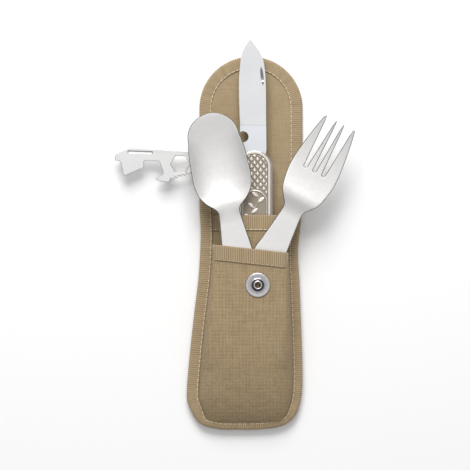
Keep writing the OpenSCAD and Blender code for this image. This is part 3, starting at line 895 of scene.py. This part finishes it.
def mouth_tape(name, mouth, top, node):
    """Ribbed tape folded over a pocket's mouth, with ribs square to the edge."""
    y0 = float(mouth(0.0))
    left, right = seam_left(np.asarray(y0)) + 0.2, seam_right(np.asarray(y0)) - 0.2
    s = (1 - np.cos(np.pi * np.linspace(0, 1, 400))) / 2
    x = left + (right - left) * s
    m = mouth(x)
    z = top(x, m)
    line, along = evenly(np.column_stack([x, m, z]), RIB / 7, closed=False)
    crown = ribs(along)
    x, m, z = line.T
    t = MOUTH_TAPE_T
    low = z - CANVAS_T
    # (distance back from the mouth, height above the cloth's face, below its back)
    outer = [(d, "high") for d in np.linspace(MOUTH_TAPE_W, 0, 10)]
    outer += [(-t * math.sin(a), ("turn", math.cos(a))) for a in np.radians((30, 60, 90, 120, 150))]
    outer += [(d, "low") for d in np.linspace(0, MOUTH_TAPE_W, 6)]
    points, coords = [], []
    middle, half = (z + low) / 2, (z - low) / 2 + t
    for d, where in outer:
        lift = 0.11 * crown
        edge = d >= MOUTH_TAPE_W - 0.01
        if where == "high":
            h = z + t - 0.11 + lift - (0.3 if edge else 0)
        elif where == "low":
            h = low - t + 0.11 - lift * 0.5
        else:
            h = middle + half * where[1]
            d = d - 0.1 * crown
        points.append(np.column_stack([x, m - d, h]))
        coords.append(np.column_stack([along, np.full(len(x), d), crown]))
    for d, h in ((MOUTH_TAPE_W, low - 0.02), (0.0, low - 0.02), (0.0, z + 0.02), (MOUTH_TAPE_W, z + 0.02)):
        points.append(np.column_stack([x, m - d, h]))
        coords.append(np.column_stack([along, np.full(len(x), d), crown]))
    cols = len(points)
    rows = len(x)
    points = np.stack(points, axis=1).reshape(-1, 3)
    coords = np.stack(coords, axis=1).reshape(-1, 3)
    faces = grid_faces(rows, cols, wrap=True)
    faces += [tuple(range(cols)), tuple((rows - 1) * cols + c for c in reversed(range(cols)))]
    piece = add_piece(name, points, faces, coords=coords)
    finish_piece(piece, TAPE, "pouch", "edge_tape", node)
    girth = 2 * MOUTH_TAPE_W + math.pi * math.sqrt((t**2 + float(half.mean()) ** 2) / 2)
    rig.sheet(piece, flat=(round(girth * MM, 4), round(float(along[-1]) * MM, 4)), held="folded",
             rests_on=["body_lining"])


def mouth_stitching(name, mouth, top, back, thread):
    y0 = float(mouth(0.0))
    x = np.linspace(seam_left(np.asarray(y0)) + 1, seam_right(np.asarray(y0)) - 1, 160)
    y = mouth(x) - back
    line = np.column_stack([x, y, top(x, y) + MOUTH_TAPE_T + 0.02])
    return finish_piece(joined(name, stitch(line)), thread, "pouch", "stitch_thread")


def pockets():
    x, y = pocket_grid(knife_mouth, -111.2, 110, 70)
    piece = cloth_skin("knife_pocket_canvas", x, y, knife_pocket_top, CANVAS_T, wave=0.05)
    finish_piece(piece, CANVAS, "pouch", "canvas", "knife_pocket")
    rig.sheet(piece, held="stretched", rests_on=["body_lining"], **cut_size(x, y, knife_pocket_top))
    x, y = pocket_grid(cutlery_mouth, -111.2, 130, 90)
    piece = cloth_skin("cutlery_pocket_canvas", x, y, cutlery_pocket_top, CANVAS_T, wave=0.07)
    finish_piece(piece, CANVAS, "pouch", "canvas", "cutlery_pocket")
    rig.sheet(piece, held="stretched", rests_on=["knife_pocket"],
             **cut_size(x, y, cutlery_pocket_top))
    mouth_tape("knife_mouth_tape", knife_mouth, knife_pocket_top, "knife_pocket_tape")
    mouth_tape("cutlery_mouth_tape", cutlery_mouth, cutlery_pocket_top, "cutlery_pocket_tape")
    mouth_stitching("knife_mouth_stitching", knife_mouth, knife_pocket_top, MOUTH_TAPE_W - 0.8, THREAD)
    mouth_stitching("cutlery_mouth_stitching", cutlery_mouth, cutlery_pocket_top, MOUTH_TAPE_W - 0.8,
                    TAN_THREAD)


def belt_loop():
    low, high = box_mm("belt_loop")
    x = np.linspace(low[0], high[0], 60)
    y = np.linspace(low[1], high[1], 90)
    gx, gy = np.meshgrid(x, y)
    def top(x, y):
        end = np.minimum(y - low[1], high[1] - y)
        return 1.2 + 0.28 * ease((9 - end) / 2)
    piece = cloth_skin("belt_loop_webbing", gx, gy, top, 1.2)
    finish_piece(piece, WEBBING, "pouch", "webbing", "belt_loop")
    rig.sheet(piece, held="laid", rests_on=["back_panel"], **cut_size(gx, gy, top))
    tacks = []
    for y0 in (low[1] + 1.5, low[1] + 6.5, high[1] - 1.5, high[1] - 6.5):
        run = np.linspace(low[0] + 1.5, high[0] - 1.5, 80)
        tacks += stitch(np.column_stack([run, np.full(80, y0), np.full(80, 0.17)]), dip=-0.05, thick=0.16)
    finish_piece(joined("belt_loop_stitching", tacks), THREAD, "pouch", "stitch_thread")


# ------------------------------------------------------------------ spoon and fork

SPOON_NECK, SPOON_LEAN, BOWL_L = (-13.4, 20), 11.9, 58.5
FORK_NECK, FORK_LEAN, HEAD_L = (25.1, 19.7), -28.4, 58.8
SHEET_T = 1.5
SPOON_SIDES = [(-61.5, 6.5), (-60.3, 8.6), (-57.5, 9.7), (-36, 9.6), (-24, 8.9), (-12, 7.5),
               (-5, 6.7), (0, 6.9), (5, 12), (10, 15.6), (15, 17), (20, 17.5), (30, 17.2),
               (38, 16.5), (43, 15.5)]
BOWL_DEPTH, SPOON_STEP, FORK_STEP = 3.6, 2.5, 3.5


def spoon_half(u):
    table = curve(SPOON_SIDES, 8)
    tip = 15.5 * (1 - (np.clip((u - 43) / 15.6, 0, 0.999)) ** 2.2) ** 0.52
    return np.where(u < 43, np.interp(u, table[:, 0], table[:, 1]), tip)


def spoon_rise(x, u):
    s = np.clip(np.abs(x) / spoon_half(u), 0, 1)
    v = np.clip(np.abs(u - 28.5) / np.where(u < 28.5, 35.0, BOWL_L - 28.5), 0, 1)
    bowl = BOWL_DEPTH * (1 - v**2.1) ** 1.3
    return SPOON_STEP * ease((u + 8) / 13) - bowl * (1 - s**2.2)


def spoon():
    u = np.concatenate([np.linspace(-61.4, 0, 46), np.linspace(1, 54, 60),
                        58.5 - 4.2 * (1 - np.sin(np.radians(np.linspace(4, 88, 16))))])
    half = spoon_half(u)
    outline = np.vstack([np.column_stack([half, u]), [(0.0, 58.55)],
                         np.column_stack([-half, u])[::-1]])
    outline, _ = evenly(outline, 0.8)
    piece, caps = plate("spoon_stamping", outline, 0.9, spoon_rise, SHEET_T, 0.45)
    placed(piece, SPOON_NECK, SPOON_LEAN, handle_base("spoon"))
    finish_piece(piece, SATIN, "spoon", "satin_steel", "spoon")
    # the spoon's rounded rim takes the dark steel: painted shade along its outline
    paint_rim(piece, EDGE, caps)


def handle_base(node):
    """The height of a handle's underside: the top of its box less what stands above it."""
    low, high = box_mm(node)
    if node == "spoon":
        return high[2] - SHEET_T - SPOON_STEP
    return low[2]


FORK_SIDE = [(8.6, -60), (9.7, -57.2), (9.6, -32), (8.7, -24), (6.9, -9), (6.4, 0), (9.6, 5),
             (12.6, 10), (14.7, 20), (14.9, 27), (14.1, 36), (12.3, 48), (10.5, 57), (9.7, 58.8)]
SLOT_BOTTOM, SLOT_PITCH, SLOT_HALF = 26.0, 6.0, 1.05


def fork_rise(u):
    scoop = FORK_STEP - 1.6 + 1.6 * ((np.maximum(u, 7) - 27) / 20) ** 2
    return scoop * ease((u + 4) / 15)


def fork_outline():
    """One side, three slots that widen to the tips, and the other side."""
    side = curve(FORK_SIDE, 6)
    right = [(7.0, -61.2)] + [tuple(p) for p in side]
    tips = [(9.2, 0.55), (2.5, 0.6), (-2.5, 0.6), (-9.2, 0.55)]
    outline = list(right[:-1])
    round_tip = np.radians((60, 90, 120))
    for k, (tip, half) in enumerate(tips):
        outline += [(tip + half * math.cos(a), HEAD_L - 0.6 + 0.6 * math.sin(a)) for a in round_tip]
        if k < 3:
            slot = SLOT_PITCH * (1 - k)
            sides = np.linspace(0, 1, 10)[1:-1]
            for t in sides:
                outline.append((tip - half + (slot + SLOT_HALF - tip + half) * t,
                                HEAD_L - 0.6 + (SLOT_BOTTOM + SLOT_HALF - HEAD_L + 0.6) * t))
            outline += [(slot + SLOT_HALF * math.cos(a), SLOT_BOTTOM + SLOT_HALF + SLOT_HALF * math.sin(a))
                        for a in np.radians(np.linspace(0, -180, 13))]
            nxt = tips[k + 1][0] + tips[k + 1][1]
            for t in sides:
                outline.append((slot - SLOT_HALF + (nxt - slot + SLOT_HALF) * t,
                                SLOT_BOTTOM + SLOT_HALF + (HEAD_L - 0.6 - SLOT_BOTTOM - SLOT_HALF) * t))
    outline += [(-p[0], p[1]) for p in right[-2::-1]]
    return np.array(outline)


def fork():
    piece, caps = plate("fork_stamping", fork_outline(), 1.0, lambda x, y: fork_rise(y), SHEET_T, 0.4)
    placed(piece, FORK_NECK, FORK_LEAN, handle_base("fork"))
    finish_piece(piece, SATIN, "fork", "satin_steel", "fork")
    # the fork's rounded rim takes the dark steel: painted shade along its outline and tines
    paint_rim(piece, EDGE, caps)


# ------------------------------------------------------------------ knife


def scale_relief(x, y):
    """Height from 0 to 1 over the scale: border, lattice, arch, and a leaf scroll under it."""
    cx = (handle_low[0] + handle_high[0]) / 2
    r = (handle_high[0] - handle_low[0]) / 2
    top, bottom = handle_high[1] - r, handle_low[1] + r
    rim = r - np.hypot(x - cx, np.where(y > top, y - top, np.where(y < bottom, y - bottom, 0)))
    border = ease((1.95 - rim) / 0.45) * ease(rim / 0.25 + 0.35)
    inner = ease((rim - 2.1) / 0.3)
    arch_y = 32.0 - (r - 1.9)
    arch_r = r - 1.9
    in_arch = np.hypot(x - cx, np.maximum(y - arch_y, 0))
    arch = ease(1 - np.abs(in_arch - arch_r + 0.6) / 0.75) * (y > arch_y - 60)
    above = (in_arch > arch_r + 0.5) | (y > 32.6)
    a = (x - cx) / 3.7 + (y - 34.6) / 4.4
    b = (x - cx) / 3.7 - (y - 34.6) / 4.4
    da = np.abs(a - np.round(a))
    db = np.abs(b - np.round(b))
    diamonds = ease((0.43 - np.maximum(da, db)) / 0.24)
    lattice = np.where(above, diamonds, 0)
    # generic scroll: a wavy stem with pointed leaves on alternate sides
    stem_x = cx + 2.4 * np.sin(y * 0.30)
    stem = ease(1 - np.abs(x - stem_x) / 0.55)
    leaf = np.zeros_like(x)
    for k in range(24):
        y0 = 27.5 - 3.3 * k
        side = 1 if k % 2 else -1
        x0 = cx + 2.4 * math.sin(y0 * 0.30)
        lx = (x - x0) * side * 0.80 + (y - y0) * 0.60
        ly = -(x - x0) * side * 0.60 + (y - y0) * 0.80
        lobe = 1 - np.abs(ly) / (1.5 * np.sin(np.clip(lx / 5.2, 0, 1) * np.pi) + 0.001)
        vein = 0.75 + 0.25 * np.abs(np.sin(ly * 5 + lx * 2))
        leaf = np.maximum(leaf, np.where((lx > 0) & (lx < 5.2), np.clip(lobe * 1.6, 0, 1) * vein, 0))
    scroll = np.where(~above & (in_arch < arch_r - 1.4), np.maximum(stem, leaf) * 0.85, 0)
    return np.clip(np.maximum(np.maximum(border, arch * inner), np.maximum(lattice, scroll) * inner), 0, 1)


def handle_scale():
    """The front scale as one cast piece, its relief in the mesh."""
    r = (handle_high[0] - handle_low[0]) / 2
    cx = (handle_low[0] + handle_high[0]) / 2
    top, bottom = handle_high[1] - r, handle_low[1] + r
    y = np.concatenate([bottom - r * np.cos(np.linspace(0.02, np.pi / 2, 40)),
                        np.arange(bottom + 0.3, 14, 0.35), np.arange(14, top, 0.16),
                        top + r * np.sin(np.linspace(0, np.pi / 2 - 0.02, 60))])
    over = np.where(y > top, y - top, np.where(y < bottom, y - bottom, 0))
    half = np.sqrt(np.maximum(r**2 - over**2, 0.01))
    s = np.linspace(-1, 1, 121)
    x = cx + half[:, None] * s[None]
    gy = np.repeat(y[:, None], len(s), axis=1)
    level = scale_relief(x, gy)
    rows, cols = x.shape
    base = handle_high[2] - 0.42
    rim = r - np.hypot(x - cx, np.where(gy > top, gy - top, np.where(gy < bottom, gy - bottom, 0)))
    z = base + 0.42 * level - 0.5 * ease((0.45 - rim) / 0.45)
    high = np.stack([x, gy, z], axis=2).reshape(-1, 3)
    low = np.stack([x, gy, np.full_like(x, handle_low[2])], axis=2).reshape(-1, 3)
    n = rows * cols
    faces = grid_faces(rows, cols) + grid_faces(rows, cols, n, flip=True)
    faces += grid_walls(rows, cols)
    coords = np.stack([x, gy, level], axis=2).reshape(-1, 3)
    piece = add_piece("handle_scale_cast", np.vstack([high, low]), faces,
                      coords=np.vstack([coords, coords]))
    sharpen(piece, 70)
    finish_piece(piece, SILVER, "knife", "cast_silver", "front_scale")


def from_cad(name, node, width):
    """A copy of a CAD node's mesh with its hard edges broken."""
    source = bpy.data.objects[node]
    mesh = source.data.copy()
    piece = bpy.data.objects.new(name, mesh)
    bpy.context.collection.objects.link(piece)
    piece.matrix_world = source.matrix_world.copy()
    work = bmesh.new()
    work.from_mesh(mesh)
    bmesh.ops.remove_doubles(work, verts=work.verts, dist=1e-6)
    bmesh.ops.dissolve_limit(work, angle_limit=math.radians(1), verts=work.verts, edges=work.edges)
    work.to_mesh(mesh)
    work.free()
    mesh.polygons.foreach_set("use_smooth", [True] * len(mesh.polygons))
    sharpen(piece, 30)
    soften_edges(piece, width, 3, 30, material=1)
    return piece


def knife():
    handle_scale()
    for node in ("front_liner", "middle_liner", "rear_liner", "blade_spring", "opener_spring",
                 "pivot_pin", "spring_pin", "end_pin"):
        paint(bpy.data.objects[node], LINER)
    paint(bpy.data.objects["rear_scale"], REAR_SILVER)
    paint(bpy.data.objects["knife_blade"], BLADE)
    piece = from_cad("opener_ground", "opener", 0.3)
    finish_piece(piece, OPENER, "opener", "blade_steel", "opener")
    # the bevel's faces take this second material: painted shade round the opener's edges
    piece.data.materials.append(OPENER_RIM_SHADE)


def turned(name, profile, at, sides=72):
    """A lathed piece from (radius, height, tone) points in a closed loop."""
    turn = 2 * np.pi * np.arange(sides) / sides
    points = [np.column_stack([at[0] + r * np.cos(turn), at[1] + r * np.sin(turn),
                               np.full(sides, at[2] + z)]) for r, z, _ in profile]
    coords = [np.column_stack([np.full(sides, r), turn, np.full(sides, tone)]) for r, _, tone in profile]
    rows = len(profile)
    faces = grid_faces(rows, sides, wrap=True)
    last = (rows - 1) * sides
    for c in range(sides):
        faces.append((last + c, last + (c + 1) % sides, (c + 1) % sides, c))
    piece = add_piece(name, np.vstack(points), [f[::-1] for f in faces], coords=np.vstack(coords))
    sharpen(piece, 60)
    return piece


def nickel():
    """Nickel-plated press stud: bright with painted highlight on its rings, dull and darkened with painted shade where
    it is dished and in its grooves.
    """
    n = Nodes("nickel_stud")
    radius, turn, tone = n.split(n.attribute("cloth").outputs["Vector"])
    where = n.object_mm()
    rub = n.noise(where, 1.1, 4.0)
    level = n.math("ADD", tone, n.math("MULTIPLY", n.math("SUBTRACT", rub, 0.5), 0.35))
    # colour follows the profile's tone, painted shade and highlight, with random rubbing on top
    n.set(Base_Color=n.mix(n.ramp(level, 0.0, 1.0), colour(0.05, 0.045, 0.045), colour(0.74, 0.73, 0.755)),
          Metallic=0.95, Roughness=n.math("SUBTRACT", 0.42, n.math("MULTIPLY", level, 0.16)))
    n.bump(rub, 0.03, 0.5)
    return n.material


def snaps():
    for node in ("snap_socket", "snap_spring", "snap_cap"):
        paint(bpy.data.objects[node], NICKEL)
    low, high = box_mm("snap_stud")
    at = ((low[0] + high[0]) / 2, (low[1] + high[1]) / 2, low[2])
    under = box_mm("snap_post")[0][2] - low[2]
    # each point's third value is its tone: low in the grooves, the dish and the post's hole as painted shade, high on
    # the rings and the post's top as painted highlight
    profile = [(1.5, under, 0.1), (5.0, under, 0.5), (5.0, -CANVAS_T, 0.5), (2.5, -CANVAS_T, 0.3),
               (2.5, 0.0, 0.3), (7.2, 0.02, 0.6), (7.35, 0.3, 0.55), (7.3, 0.65, 0.62), (6.95, 0.86, 0.72),
               (6.5, 0.86, 0.72), (5.4, 0.66, 0.60), (4.5, 0.60, 0.52), (4.0, 0.66, 0.62),
               (3.66, 0.95, 0.45), (3.5, 1.05, 0.04), (3.1, 1.0, 0.02), (2.8, 1.2, 0.05), (2.7, 2.2, 0.35),
               (2.55, 2.9, 0.85), (2.35, 3.18, 1.0), (2.05, 3.22, 0.95), (1.75, 3.0, 0.6), (1.6, 2.4, 0.08),
               (1.5, 1.0, 0.0)]
    piece = turned("press_stud", profile, at)
    finish_piece(piece, nickel(), "pouch", "snap_metal", "snap_stud", "snap_post")


# ------------------------------------------------------------------ studio


def studio():
    """White table, a large soft light from the flap's end, and a camera straight above."""
    floor = add_piece("table", [(-3000, -3000, -0.05), (3000, -3000, -0.05), (3000, 3000, -0.05),
                                (-3000, 3000, -0.05)], [(0, 1, 2, 3)])
    n = Nodes("white_table")
    n.set(Base_Color=(0.93, 0.93, 0.93, 1), Roughness=0.9, Specular_IOR_Level=0.1,
          Emission_Color=(1, 1, 1, 1), Emission_Strength=0.02)
    paint(floor, n.material)
    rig.stage(floor)
    world = bpy.data.worlds.new("studio")
    bpy.context.scene.world = world
    world.use_nodes = True
    tree = world.node_tree
    tree.nodes.clear()
    out = tree.nodes.new("ShaderNodeOutputWorld")
    back = tree.nodes.new("ShaderNodeBackground")
    where = tree.nodes.new("ShaderNodeTexCoord")
    split = tree.nodes.new("ShaderNodeSeparateXYZ")
    ramp = tree.nodes.new("ShaderNodeValToRGB")
    tree.links.new(where.outputs["Generated"], split.inputs[0])
    tree.links.new(split.outputs["Z"], ramp.inputs[0])
    tree.links.new(ramp.outputs[0], back.inputs[0])
    tree.links.new(back.outputs[0], out.inputs[0])
    ramp.color_ramp.elements[0].position = 0.50
    ramp.color_ramp.elements[0].color = (0.27, 0.27, 0.28, 1)
    ramp.color_ramp.elements[1].position = 0.95
    ramp.color_ramp.elements[1].color = (0.80, 0.80, 0.80, 1)
    back.inputs[1].default_value = 1.0
    key_at = (-0.12, 1.05, 0.95)
    data = bpy.data.lights.new("key", "AREA")
    data.size = 0.8
    data.energy = 19.0
    light = bpy.data.objects.new("key", data)
    bpy.context.collection.objects.link(light)
    light.location = key_at
    light.rotation_euler = (-Vector(key_at)).to_track_quat("-Z", "Y").to_euler()
    data = bpy.data.cameras.new("camera")
    camera = bpy.data.objects.new("camera", data)
    bpy.context.collection.objects.link(camera)
    distance, seen = 2.4, 0.282
    camera.location = (-9.6 * MM, 4.8 * MM, distance)
    data.sensor_width = 36
    data.lens = 36 * (distance - 0.005) / seen
    bpy.context.scene.camera = camera
    bpy.context.scene.view_settings.view_transform = "Standard"


studio()
back_and_lining()
edge_tape()
edge_stitching()
pockets()
belt_loop()
spoon()
fork()
knife()
snaps()

with open("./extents.json", "w") as f:
    json.dump({"cad": [list(map(float, p)) for p in cad_box],
               "visual": [list(map(float, p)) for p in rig.bounds()]}, f)
